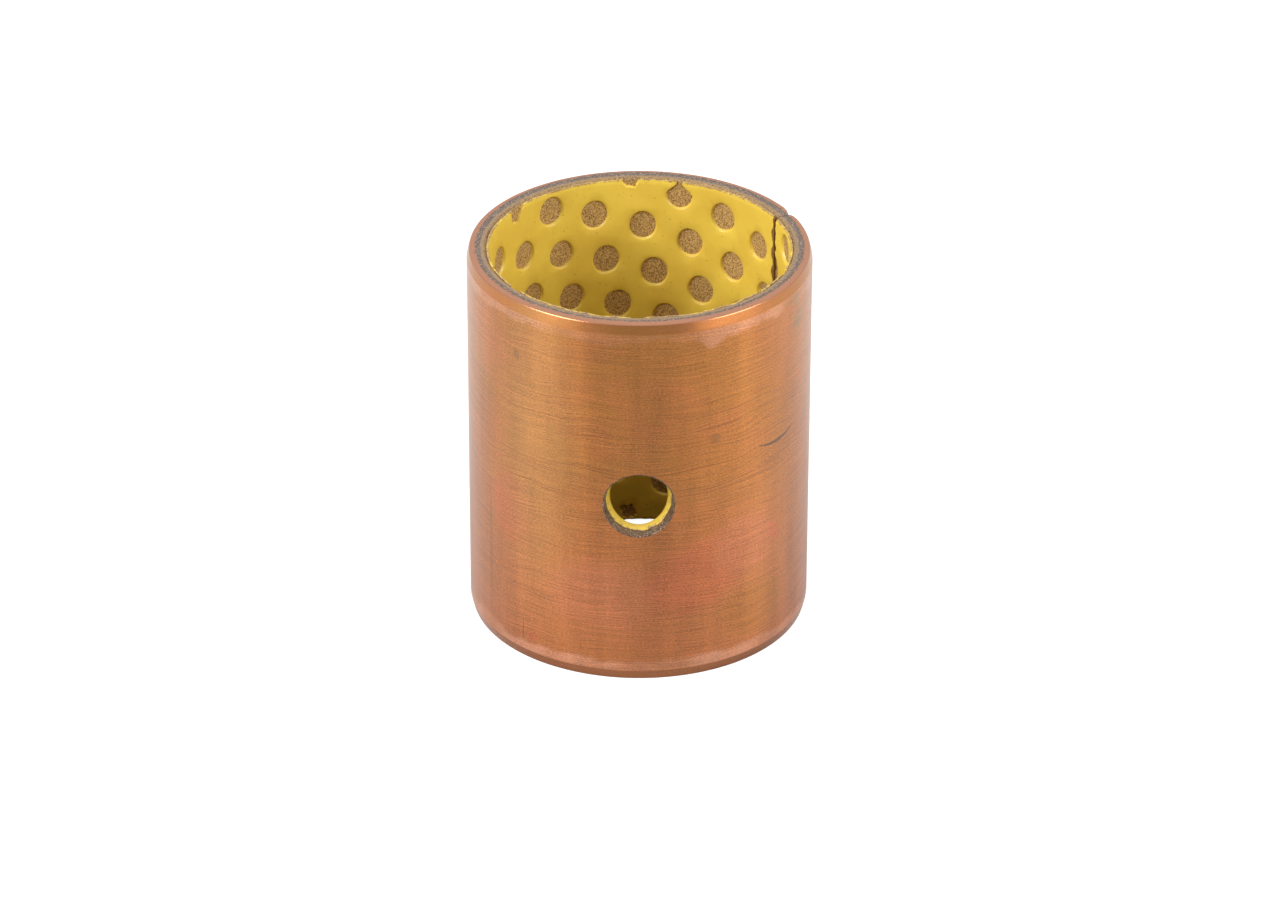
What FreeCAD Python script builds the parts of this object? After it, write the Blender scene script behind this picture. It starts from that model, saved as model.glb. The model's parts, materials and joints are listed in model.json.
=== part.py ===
import FreeCAD, Part
import math
import os

# Split plain bushing, rolled from a three-layer strip: copper-plated steel outside, a thin layer of
# sintered bronze, and a yellow polymer lining whose grease indents go down to the bronze.
# The bore axis is Z, the lower end stands on Z = 0 and the oil hole faces -Y.
# Lengths are in millimetres and angles in degrees, counted from +X towards +Y.

# Ring
bore_diameter = 30.0
outside_diameter = 34.5
ring_length = 40.0
lining_thickness = 0.25
bronze_thickness = 0.3

# Ends
lead_in_angle = 14.0
lead_in_length = 1.05
bore_chamfer = 0.5

# Butt joint where the two ends of the strip meet
joint_angle = 25.0
steel_joint_gap = 0.12
lining_joint_gap = 0.2
long_bevel_width = 1.6
long_bevel_depth = 0.4
short_bevel_width = 0.5
short_bevel_depth = 0.2

# Oil hole, punched in the flat strip. Its width is the one at mid-wall, its length runs along the bore
oil_hole_width = 6.55
oil_hole_length = 6.85
oil_hole_angle = -90.0
oil_hole_edge_break = 0.12
lining_overhang = 0.18

# Grease indents, on a slanted grid along the bore
indent_width = 2.65
indent_height = 2.95
indent_flare = 1.04
indent_sides = 10
indent_row_pitch = 5.18
indent_row_slope = -16.9
indent_column_pitch = 5.38
indent_column_slope = -76.95
first_indent_angle = 88.87
first_indent_depth = 5.29
smallest_rim_cut = 0.8

# Room that a cutting solid has past the surface it cuts, and how near counts as touching
overcut = 1.0
touching = 0.01

bore_radius = bore_diameter / 2
outside_radius = outside_diameter / 2
lining_outer_radius = bore_radius + lining_thickness
bronze_outer_radius = lining_outer_radius + bronze_thickness
neutral_radius = (bore_radius + outside_radius) / 2
oil_hole_height = ring_length / 2
origin = FreeCAD.Vector(0, 0, 0)
up = FreeCAD.Vector(0, 0, 1)


def turn_to(shape, angle):
    """Turns a shape that was made along +X to an angle round the bore axis."""
    turned = shape.copy()
    turned.rotate(origin, up, angle)
    return turned


def tube(inner_radius, outer_radius, seam_angle):
    outer = Part.makeCylinder(outer_radius, ring_length)
    inner = Part.makeCylinder(inner_radius, ring_length)
    return turn_to(outer.cut(inner), seam_angle)


def plain_wall(seam_angle):
    """The whole wall before the cuts, with the seam of its round faces at an angle."""
    return turn_to(wall_section().revolve(origin, up, 360), seam_angle)


def wall_section():
    """Half section of the whole wall, with the lead-ins outside and the chamfers in the bore."""
    corner = outside_radius - lead_in_length * math.tan(math.radians(lead_in_angle))
    outline = [
        (bore_radius + bore_chamfer, 0),
        (corner, 0),
        (outside_radius, lead_in_length),
        (outside_radius, ring_length - lead_in_length),
        (corner, ring_length),
        (bore_radius + bore_chamfer, ring_length),
        (bore_radius, ring_length - bore_chamfer),
        (bore_radius, bore_chamfer),
    ]
    corners = [FreeCAD.Vector(radius, 0, height) for radius, height in outline]
    return Part.Face(Part.makePolygon(corners + corners[:1]))


def joint_slot(gap):
    """Slab that parts the strip's two ends."""
    slot = Part.makeBox(outside_radius, gap, ring_length + 2 * overcut)
    slot.translate(FreeCAD.Vector(overcut, -gap / 2, -overcut))
    return turn_to(slot, joint_angle)


def joint_bevel(width, depth, side):
    """Prism that bevels the outer edge of one strip end; side is 1 past the joint, -1 before it."""
    shoulder = math.sqrt(outside_radius ** 2 - width ** 2)
    outline = [
        (outside_radius - depth, 0),
        (shoulder, side * width),
        (outside_radius + overcut, side * width),
        (outside_radius + overcut, 0),
    ]
    corners = [FreeCAD.Vector(x, y, -overcut) for x, y in outline]
    prism = Part.Face(Part.makePolygon(corners + corners[:1]))
    prism = prism.extrude(FreeCAD.Vector(0, 0, ring_length + 2 * overcut))
    return turn_to(prism, joint_angle)


def oval(distance, half_width, half_height):
    """Closed oval at a distance along +X from the bore axis, facing the axis."""
    circle = Part.Wire([Part.makeCircle(1, origin, FreeCAD.Vector(1, 0, 0))])
    stretch = FreeCAD.Matrix()
    stretch.A22 = half_width
    stretch.A33 = half_height
    loop = circle.transformGeometry(stretch)
    loop.translate(FreeCAD.Vector(distance, 0, oil_hole_height))
    return loop


def punched_hole(overhang):
    """The oil hole, narrower all round by an overhang. Rolling spreads it outside, squeezes it inside."""
    spread = math.tan((oil_hole_width / 2 - overhang) / neutral_radius)
    half_length = oil_hole_length / 2 - overhang
    near = bore_radius - 2 * overcut
    far = outside_radius + overcut
    ovals = [oval(near, near * spread, half_length), oval(far, far * spread, half_length)]
    return turn_to(Part.makeLoft(ovals, True, True), oil_hole_angle)


def hole_mouth_edges(shape):
    """Edges of the oil hole that lie on the outside of the ring."""
    half = oil_hole_length / 2 + touching
    edges = []
    for edge in shape.Edges:
        low, high = edge.BoundBox.ZMin, edge.BoundBox.ZMax
        middle = edge.valueAt((edge.FirstParameter + edge.LastParameter) / 2)
        on_outside = abs(math.hypot(middle.x, middle.y) - outside_radius) < touching
        if on_outside and low > oil_hole_height - half and high < oil_hole_height + half:
            edges.append(edge)
    return edges


def indent_outline(distance, scale):
    """Outline of one indent, with short straight sides, at a distance along +X from the bore axis."""
    corners = []
    for number in range(indent_sides):
        around = 2 * math.pi * (number + 0.5) / indent_sides
        y = scale * indent_width / 2 * math.cos(around)
        z = scale * indent_height / 2 * math.sin(around)
        corners.append(FreeCAD.Vector(distance, y, z))
    return Part.makePolygon(corners + corners[:1])


def indent_plug():
    """Plug with the form of one indent: its own size on the bronze, wider in the bore."""
    growth = (indent_flare - 1) / lining_thickness
    near = bore_radius - overcut
    far = lining_outer_radius + overcut / 4
    inner = indent_outline(near, 1 + growth * (lining_outer_radius - near))
    outer = indent_outline(far, 1 + growth * (lining_outer_radius - far))
    return Part.makeLoft([inner, outer], True, True)


def indent_places():
    """Arc length past the joint and height of each indent that lands on the strip."""
    row_angle = math.radians(indent_row_slope)
    column_angle = math.radians(indent_column_slope)
    # The grid runs clockwise seen from above, against the count of angles
    row = (-indent_row_pitch * math.cos(row_angle), indent_row_pitch * math.sin(row_angle))
    column = (-indent_column_pitch * math.cos(column_angle), indent_column_pitch * math.sin(column_angle))
    start = math.radians(first_indent_angle - joint_angle) * bore_radius
    strip = 2 * math.pi * bore_radius
    side_room = indent_width / 2
    end_room = indent_height / 2 - smallest_rim_cut
    reach = math.ceil((strip + ring_length) / min(indent_row_pitch, indent_column_pitch))
    places = []
    for i in range(-reach, reach + 1):
        for j in range(-reach, reach + 1):
            along = start + i * row[0] + j * column[0]
            height = ring_length - first_indent_depth + i * row[1] + j * column[1]
            if -side_room < along < strip + side_room and -end_room < height < ring_length + end_room:
                places.append((along, height))
    return places


def indents():
    """All the indent plugs. One that runs past an end of the strip is cut off at the joint."""
    plug = indent_plug()
    strip = 2 * math.pi * bore_radius
    reach = indent_width * indent_flare
    past_joint = Part.makeBox(outside_radius, outside_radius, ring_length + 4 * overcut)
    past_joint.translate(FreeCAD.Vector(0, 0, -2 * overcut))
    before_joint = past_joint.copy()
    before_joint.translate(FreeCAD.Vector(0, -outside_radius, 0))
    plugs = []
    for along, height in indent_places():
        placed = plug.copy()
        placed.translate(FreeCAD.Vector(0, 0, height))
        placed = turn_to(placed, joint_angle + math.degrees(along / bore_radius))
        if along < reach:
            placed = placed.common(turn_to(past_joint, joint_angle))
        elif along > strip - reach:
            placed = placed.common(turn_to(before_joint, joint_angle))
        plugs.append(placed)
    return plugs


def steel_backing():
    """Its round faces have their seam opposite the oil hole, those of the other layers in the joint."""
    seam_angle = oil_hole_angle + 180
    shape = plain_wall(seam_angle).common(tube(bronze_outer_radius, outside_radius + overcut, seam_angle))
    shape = shape.cut(punched_hole(0))
    shape = shape.makeChamfer(oil_hole_edge_break, hole_mouth_edges(shape))
    return shape.cut([
        joint_slot(steel_joint_gap),
        joint_bevel(long_bevel_width, long_bevel_depth, 1),
        joint_bevel(short_bevel_width, short_bevel_depth, -1),
    ])


def bronze_layer():
    shape = plain_wall(joint_angle).common(tube(lining_outer_radius, bronze_outer_radius, joint_angle))
    return shape.cut([joint_slot(steel_joint_gap), punched_hole(0)])


def polymer_lining():
    shape = plain_wall(joint_angle).common(tube(bore_radius - overcut, lining_outer_radius, joint_angle))
    shape = shape.cut([joint_slot(lining_joint_gap), punched_hole(lining_overhang)])
    return shape.cut(indents())


def save(name, shape):
    solids = shape.Solids
    if len(solids) != 1 or not shape.isValid():
        print("look at", name, "solids:", len(solids), "valid:", shape.isValid())
    whole = solids[0] if len(solids) == 1 else shape
    whole.exportStep("parts/" + name + ".step")
    print(name, "volume", round(shape.Volume, 2), "faces", len(shape.Faces))


os.makedirs("parts", exist_ok=True)
save("steel_backing", steel_backing())
save("bronze_layer", bronze_layer())
save("polymer_lining", polymer_lining())
print("indents", len(indent_places()))
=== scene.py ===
import bisect
import json
import math

import bmesh
import bpy
from mathutils import Matrix, Vector, noise
from mathutils.geometry import delaunay_2d_cdt


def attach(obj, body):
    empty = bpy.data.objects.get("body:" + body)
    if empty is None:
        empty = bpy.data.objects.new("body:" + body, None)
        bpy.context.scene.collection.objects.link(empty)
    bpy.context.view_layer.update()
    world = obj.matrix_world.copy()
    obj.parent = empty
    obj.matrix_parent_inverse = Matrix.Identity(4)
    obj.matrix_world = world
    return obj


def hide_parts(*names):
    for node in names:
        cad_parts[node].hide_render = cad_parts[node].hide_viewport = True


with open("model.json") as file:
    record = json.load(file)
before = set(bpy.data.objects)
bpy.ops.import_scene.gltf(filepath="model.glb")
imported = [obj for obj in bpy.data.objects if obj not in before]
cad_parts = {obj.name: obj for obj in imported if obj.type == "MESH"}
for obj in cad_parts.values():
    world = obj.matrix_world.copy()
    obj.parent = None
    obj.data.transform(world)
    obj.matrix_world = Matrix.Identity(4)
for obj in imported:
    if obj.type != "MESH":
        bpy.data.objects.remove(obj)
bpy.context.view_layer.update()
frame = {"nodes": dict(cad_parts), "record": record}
print("frame loaded:", ", ".join(sorted(frame["nodes"])))

# Meshes are built on the flat strip in millimetres: along it from the joint, height, and depth below
# the bore. They become metres when the vertices are written, and a node tree rolls them into the ring.
mm = 0.001
mounts = {mount["name"]: mount for mount in frame["record"]["mounts"]}
boreSize = mounts["bore"]["dims"]
seatSize = mounts["housing_seat"]["dims"]
ringLength = mounts["upper_end"]["pos_m"][2] / mm

ring = {
    "boreRadius": boreSize["r_mm"],
    "outsideRadius": seatSize["r_mm"],
    "boreChamfer": (ringLength - boreSize["length_mm"]) / 2,
    "leadIn": (ringLength - seatSize["length_mm"]) / 2,
    "leadInAngle": math.radians(14),
    "liningBack": 0.25,  # depths below the bore
    "bronzeBack": 0.55,
    "jointAngle": math.radians(25),
    "jointGap": 0.12,
}
stripLength = 2 * math.pi * ring["boreRadius"]
ring["wall"] = ring["outsideRadius"] - ring["boreRadius"]

oilHole = {
    "along": math.radians(270 - 25) * ring["boreRadius"],
    "height": ringLength / 2,
    "halfWidth": 3.05,  # along the bore's arc, in steel and bronze
    "halfTall": 3.425,
    "overhang": 0.18,  # of the lining
    "edgeBreak": 0.12,
    "sides": 72,
}


def smooth(x):
    x = max(0.0, min(1.0, x))
    return x * x * (3 - 2 * x)


def between(a, b, t):
    return a + (b - a) * t


# Even, repeatable unevenness from -1 to 1
def uneven(along, height, size, seed):
    return 2 * noise.noise(Vector((along / size, height / size, seed * 7.3)))


def spaced(start, end, step):
    count = max(2, round(abs(end - start) / step))
    return [between(start, end, k / count) for k in range(count + 1)]


# Depth of a bevel that starts at zero distance, with its corner a little rounded
def softRamp(distance, rounding):
    if distance <= -rounding:
        return 0.0
    if distance >= rounding:
        return distance
    return (distance + rounding) ** 2 / (4 * rounding)


# A value between the places where it is known
def readOff(places, values, place):
    k = min(max(bisect.bisect_right(places, place) - 1, 0), len(places) - 2)
    span = places[k + 1] - places[k]
    return between(values[k], values[k + 1], (place - places[k]) / span if span > 0 else 0)


# One side of a sheet: given at its places, straight in between
def sideLine(places, value):
    values = [value(place) for place in places]
    return lambda place: readOff(places, values, place)


# Wires or sets a node's inputs, in order or by name
def wire(tree, node, inputs):
    for key, value in inputs.items() if isinstance(inputs, dict) else enumerate(inputs):
        if isinstance(value, bpy.types.NodeSocket):
            tree.links.new(value, node.inputs[key])
        else:
            node.inputs[key].default_value = value


def makeNode(tree, kind, inputs=(), **settings):
    node = tree.nodes.new(kind)
    for key, value in settings.items():
        setattr(node, key, value)
    wire(tree, node, inputs)
    return node


# A node in the tree that its wired inputs come from
def nodeAfter(kind, inputs, **settings):
    values = inputs.values() if isinstance(inputs, dict) else inputs
    tree = next(value.id_data for value in values if isinstance(value, bpy.types.NodeSocket))
    return makeNode(tree, kind, inputs, **settings)


def calc(operation, *values):
    return nodeAfter("ShaderNodeMath", values, operation=operation).outputs[0]


def plus(first, second):
    return calc("ADD", first, second)


def minus(first, second):
    return calc("SUBTRACT", first, second)


def times(first, second):
    return calc("MULTIPLY", first, second)


def timesPlus(first, second, third):
    return calc("MULTIPLY_ADD", first, second, third)


# A start with values added to it, each times its factor
def summed(start, *terms):
    for value, factor in terms:
        start = timesPlus(value, factor, start)
    return start


def joined(x, y, z):
    return nodeAfter("ShaderNodeCombineXYZ", (x, y, z)).outputs[0]


def split(vector):
    return nodeAfter("ShaderNodeSeparateXYZ", (vector,)).outputs


# A noise as a swing round nothing
def swingOf(value):
    return minus(value, 0.5)


def addObject(name, data):
    thing = bpy.data.objects.new(name, data)
    bpy.context.scene.collection.objects.link(thing)
    return thing


def newTree(name, inputs):
    tree = bpy.data.node_groups.new(name, "GeometryNodeTree")
    geometry = ("Geometry", "NodeSocketGeometry")
    for way, (label, kind) in [("INPUT", socket) for socket in [geometry] + inputs] + [("OUTPUT", geometry)]:
        tree.interface.new_socket(name=label, in_out=way, socket_type=kind)
    return tree, makeNode(tree, "NodeGroupInput").outputs, makeNode(tree, "NodeGroupOutput")


def realized(geometry):
    return nodeAfter("GeometryNodeRealizeInstances", (geometry,)).outputs[0]


# The end of a tree, with its material on
def closeTree(tree, out, geometry, material):
    painted = nodeAfter("GeometryNodeSetMaterial", {"Geometry": geometry, "Material": material})
    wire(tree, out, (painted.outputs[0],))
    return tree


# Runs a node tree on a mesh and gives the result as a plain mesh
def grown(name, mesh, tree, values):
    carrier = addObject(name, mesh)
    modifier = carrier.modifiers.new(tree.name, "NODES")
    modifier.node_group = tree
    for item in tree.interface.items_tree:
        if item.in_out == "INPUT" and item.name in values:
            modifier[item.identifier] = values[item.name]
    result = bpy.data.meshes.new_from_object(carrier.evaluated_get(bpy.context.evaluated_depsgraph_get()))
    carrier.modifiers.clear()
    bpy.data.objects.remove(carrier)
    result.name = name
    return result


number, whole, finish = "NodeSocketFloat", "NodeSocketInt", "NodeSocketMaterial"

indents = {
    "Row Pitch": 5.18,
    "Row Slope": math.radians(-16.9),
    "Column Pitch": 5.38,
    "Column Slope": math.radians(-76.95),
    "Along": math.radians(88.87 - 25) * ring["boreRadius"],
    "Height": ringLength - 5.29,
    "Strip Length": stripLength,
    "Ring Length": ringLength,
    "Width": 2.65,
    "Tallness": 2.95,
    "Size Spread": 0.03,
    "Wobble": 0.16,
    "Reach": 34,
    "Sides": 24,
    "Seed": 11,
}


# Tree that lays one uneven oval for each indent on the slanted grid of the strip
def indentGridTree():
    labels = [(label, whole if label in ("Reach", "Sides", "Seed") else number) for label in indents]
    tree, given, out = newTree("indentGrid", labels + [("Material", finish)])
    lines = timesPlus(given["Reach"], 2.0, 1.0)
    span = times(given["Reach"], 2.0)
    grid = nodeAfter("GeometryNodeMeshGrid", (span, span, lines, lines))
    counts = split(makeNode(tree, "GeometryNodeInputPosition").outputs[0])

    along, height = given["Along"], given["Height"]
    for count, way in zip(counts, ("Row", "Column")):
        step = times(count, given[way + " Pitch"])
        along = minus(along, times(step, calc("COSINE", given[way + " Slope"])))
        height = timesPlus(step, calc("SINE", given[way + " Slope"]), height)
    slanted = nodeAfter("GeometryNodeSetPosition", {
        "Geometry": grid.outputs["Mesh"],
        "Position": joined(along, height, 0.0),
    })

    # Points more than half an indent outside the strip go
    off = 0.0
    spot = split(makeNode(tree, "GeometryNodeInputPosition").outputs[0])
    for value, limit, room in zip(spot, ("Strip Length", "Ring Length"), ("Width", "Tallness")):
        half = times(given[room], 0.5)
        below = calc("LESS_THAN", value, times(half, -1.0))
        above = calc("GREATER_THAN", value, plus(given[limit], half))
        off = plus(off, plus(below, above))
    kept = nodeAfter("GeometryNodeDeleteGeometry", {
        "Geometry": slanted.outputs["Geometry"],
        "Selection": off,
    }, domain="POINT")

    oval = nodeAfter("GeometryNodeMeshCircle", {
        "Vertices": given["Sides"],
        "Radius": 0.5,
    }, fill_type="NONE")
    # Its sockets 2 and 3 are the least and the most of a plain number
    spread = nodeAfter("FunctionNodeRandomValue", {
        2: minus(1.0, given["Size Spread"]),
        3: plus(1.0, given["Size Spread"]),
        "Seed": given["Seed"],
    }, data_type="FLOAT")
    size = [times(given[label], spread.outputs[1]) for label in ("Width", "Tallness")]
    placed = nodeAfter("GeometryNodeInstanceOnPoints", {
        "Points": kept.outputs["Geometry"],
        "Instance": oval.outputs["Mesh"],
        "Scale": joined(*size, 1.0),
    })

    shake = nodeAfter("ShaderNodeTexNoise", {
        "W": given["Seed"],
        "Scale": 0.8,
        "Detail": 1.0,
    }, noise_dimensions="4D")
    parts = split(shake.outputs["Color"])
    shift = [times(swingOf(part), given["Wobble"]) for part in parts[:2]]
    shaken = nodeAfter("GeometryNodeSetPosition", {
        "Geometry": realized(placed.outputs[0]),
        "Offset": joined(*shift, 0.0),
    })
    return closeTree(tree, out, shaken.outputs[0], given["Material"])


# Tree that gives the strip its grain and rolls it round the bore axis
def rollStripTree():
    labels = [("Bore Radius", number), ("Joint Angle", number), ("Grain Height", number),
              ("Grain Size", number), ("Grain Seed", number), ("Material", finish)]
    tree, given, out = newTree("rollStrip", labels)
    here = makeNode(tree, "GeometryNodeInputPosition").outputs[0]
    along, height, depth = split(here)
    grainy = makeNode(tree, "GeometryNodeInputNamedAttribute", {"Name": "grain"}, data_type="FLOAT")
    grain = nodeAfter("ShaderNodeTexNoise", {
        "Vector": here,
        "W": given["Grain Seed"],
        "Scale": calc("DIVIDE", 1.0, given["Grain Size"]),
    }, noise_dimensions="4D")
    bump = times(swingOf(grain.outputs[0]), given["Grain Height"])
    bump = times(bump, grainy.outputs[0])
    radius = plus(plus(given["Bore Radius"], depth), bump)
    angle = plus(calc("DIVIDE", along, given["Bore Radius"]), given["Joint Angle"])
    x, y = (times(radius, calc(wave, angle)) for wave in ("COSINE", "SINE"))
    rolled = nodeAfter("GeometryNodeSetPosition", {
        "Geometry": given["Geometry"],
        "Position": joined(x, y, height),
    })
    return closeTree(tree, out, realized(rolled.outputs[0]), given["Material"])


# Materials

def newMaterial(name):
    material = bpy.data.materials.new(name)
    material.use_nodes = True
    tree = material.node_tree
    return material, tree, tree.nodes["Principled BSDF"]


def noiseAt(where, scale, detail=3.0, rough=0.55, twist=0.0):
    values = {"Vector": where, "Scale": scale, "Detail": detail, "Roughness": rough, "Distortion": twist}
    return nodeAfter("ShaderNodeTexNoise", values).outputs[0]


def stretched(where, along, height, depth=1.0):
    factors = (along, height, depth)
    return nodeAfter("ShaderNodeVectorMath", (where, factors), operation="MULTIPLY").outputs[0]


# Noise with a scale of its own along the strip and upwards
def noiseAlong(where, along, height, *look):
    return noiseAt(stretched(where, along, height), 1.0, *look)


# 0 below the low value, 1 above the high one
def stepped(value, low, high):
    limits = (value, low, high, 0.0, 1.0)
    return nodeAfter("ShaderNodeMapRange", limits, interpolation_type="SMOOTHSTEP").outputs[0]


def blended(share, first, second, way="MIX"):
    first, second = (tone + (1.0,) if isinstance(tone, tuple) else tone for tone in (first, second))
    tones = {0: share, 6: first, 7: second}
    return nodeAfter("ShaderNodeMix", tones, data_type="RGBA", blend_type=way).outputs[2]


# A tone laid over another where a noise is high, by a share
def spotted(base, value, low, high, share, tone):
    return blended(times(stepped(value, low, high), share), base, tone)


def markAt(tree, name):
    return makeNode(tree, "ShaderNodeAttribute", attribute_name=name).outputs["Fac"]


def bumped(height, strength, distance):
    values = {"Height": height, "Strength": strength, "Distance": distance}
    return nodeAfter("ShaderNodeBump", values).outputs[0]


def lengthOf(vector):
    return nodeAfter("ShaderNodeVectorMath", (vector,), operation="LENGTH").outputs["Value"]


# Millimetres in one unit of the strip's map, so that the whole strip fits in it
mapUnit = 100.0


# Places on the strip and in the ring, in millimetres
def stripPlace(tree):
    return stretched(makeNode(tree, "ShaderNodeUVMap", uv_map="strip").outputs[0], mapUnit, mapUnit)


def objectPlace(tree):
    place = makeNode(tree, "ShaderNodeTexCoord").outputs["Object"]
    return stretched(place, 1 / mm, 1 / mm, 1 / mm)


# How far above or below mid-height a place is
def fromMiddleHeight(height):
    return calc("ABSOLUTE", minus(height, ringLength / 2))


# Soft oval mark on the strip, leaning by a turn, with a ragged edge
def softMarkMask(strip, softMark, ragged):
    oval = {
        "Vector": strip,
        "Location": (softMark["along"], softMark["height"], 0),
        "Rotation": (0, 0, math.radians(softMark["turn"])),
        "Scale": (softMark["wide"], softMark["tall"], 1),
    }
    inOval = nodeAfter("ShaderNodeMapping", oval, vector_type="TEXTURE").outputs[0]
    away = timesPlus(ragged, copper["softMarkRagged"], lengthOf(inOval))
    edge, soft = copper["softMarkEdge"], softMark["soft"]
    return times(stepped(away, edge + soft, edge - soft), softMark["strength"])


copper = {
    "golden": (0.53, 0.198, 0.034),
    "orange": (0.575, 0.198, 0.044),
    # pale is the tone of a painted highlight on the body
    "pale": (0.52, 0.255, 0.080),
    "pink": (0.65, 0.220, 0.088),
    "red": (0.69, 0.185, 0.070),
    "brushed": (0.30, 0.10, 0.028),
    "blush": (0.84, 0.40, 0.24),
    "rim": (0.50, 0.19, 0.085),
    "olive": (0.30, 0.22, 0.10),
    "dark": (0.17, 0.085, 0.045),
    "steel": (0.15, 0.082, 0.046),
    "steelFleck": (0.64, 0.46, 0.33),
    "steelBrown": (0.10, 0.05, 0.022),
    "pit": (0.03, 0.018, 0.01),
    "bronzeDust": (0.33, 0.20, 0.085),
    "roughness": 0.34,
    "contrasts": (1.9, 2.0, 0.8),  # of brush lines, mottling and drawn out clouds
    "softMarkEdge": 1.5,
    "softMarkRagged": 1.2,
    "rimEdge": 16.4,  # radius where the end face turns from bare steel to copper
    "rimTurn": 0.22,  # and how much less it is at the front, more at the back
    "dustEdge": 15.85,  # radius where bronze dust begins, inwards
}
copperFinish = {
    "Anisotropic": 0.7,
    "Anisotropic Rotation": 0.25,
    "Coat Weight": 0.8,
    "Coat Roughness": 0.4,
    "Sheen Weight": 0.1,
    "Sheen Roughness": 0.35,
}
# Pale bands beside the lead-ins: the edge they start from, their way, their least strength, what
# patches add to it, and how far they wave
blushBands = [
    {"edge": ringLength - ring["leadIn"], "way": -1.0, "least": 0.15, "more": 0.35, "swing": 5.0},
    {"edge": ring["leadIn"], "way": 1.0, "least": 0.4, "more": 0.4, "swing": 2.5},
]
# Soft marks, mostly stains, with one painted highlight and one painted shade among them: tone, place along
# the strip and height, half width and half height in millimetres, turn in degrees, strength and softness
softMarkLabels = ("tone", "along", "height", "wide", "tall", "turn", "strength", "soft")
stainsAndPaintedLight = [dict(zip(softMarkLabels, row)) for row in (
    ("dark", 52.5, 34.4, 0.2, 0.4, 10, 0.7, 0.5),
    ("olive", 80.9, 37.9, 0.35, 0.4, 0, 0.4, 0.5),
    ("olive", 81.4, 35.7, 0.7, 0.6, 40, 0.5, 0.5),
    ("dark", 70.9, 26.7, 0.35, 0.35, 40, 0.3, 0.5),
    ("red", 77.4, 13.8, 0.4, 0.8, 25, 0.8, 0.5),
    ("red", 54.1, 2.9, 0.3, 0.3, 0, 0.9, 0.5),
    ("dark", 59.2, 22.0, 1.0, 0.7, 0, 0.1, 0.5),
    ("dark", 77.8, 22.4, 1.5, 0.9, 20, 0.12, 0.5),
    ("dark", 48.6, 11.5, 0.15, 5.0, 0, 0.22, 0.5),
    ("dark", 53.1, 3.0, 0.05, 1.0, 0, 0.5, 0.5),
    ("pink", 60.8, 9.6, 3.4, 2.4, 0, 0.8, 0.5),
    ("red", 51.7, 16.5, 1.6, 2.4, 0, 0.6, 0.5),
    ("red", 69.5, 11.5, 3.2, 2.4, 30, 0.65, 0.5),
    ("pink", 74.0, 13.8, 2.2, 2.2, 0, 0.7, 0.5),
    # Painted highlight: a tall pale patch left of the middle, where the body's highlight falls
    ("pale", 54.7, 27.0, 2.4, 11.0, 0, 0.6, 0.9),
    # Painted shade: a golden patch that darkens the body low on the right
    ("golden", 75.3, 6.0, 2.4, 2.0, 0, 0.6, 0.5),
)]
# One long curved scratch: its middle, how it bends and leans, half its length and half its width
scratch = {"along": 78.05, "height": 23.8, "bend": 0.079, "lean": 0.042, "reach": 2.6, "width": 0.1}


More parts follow.
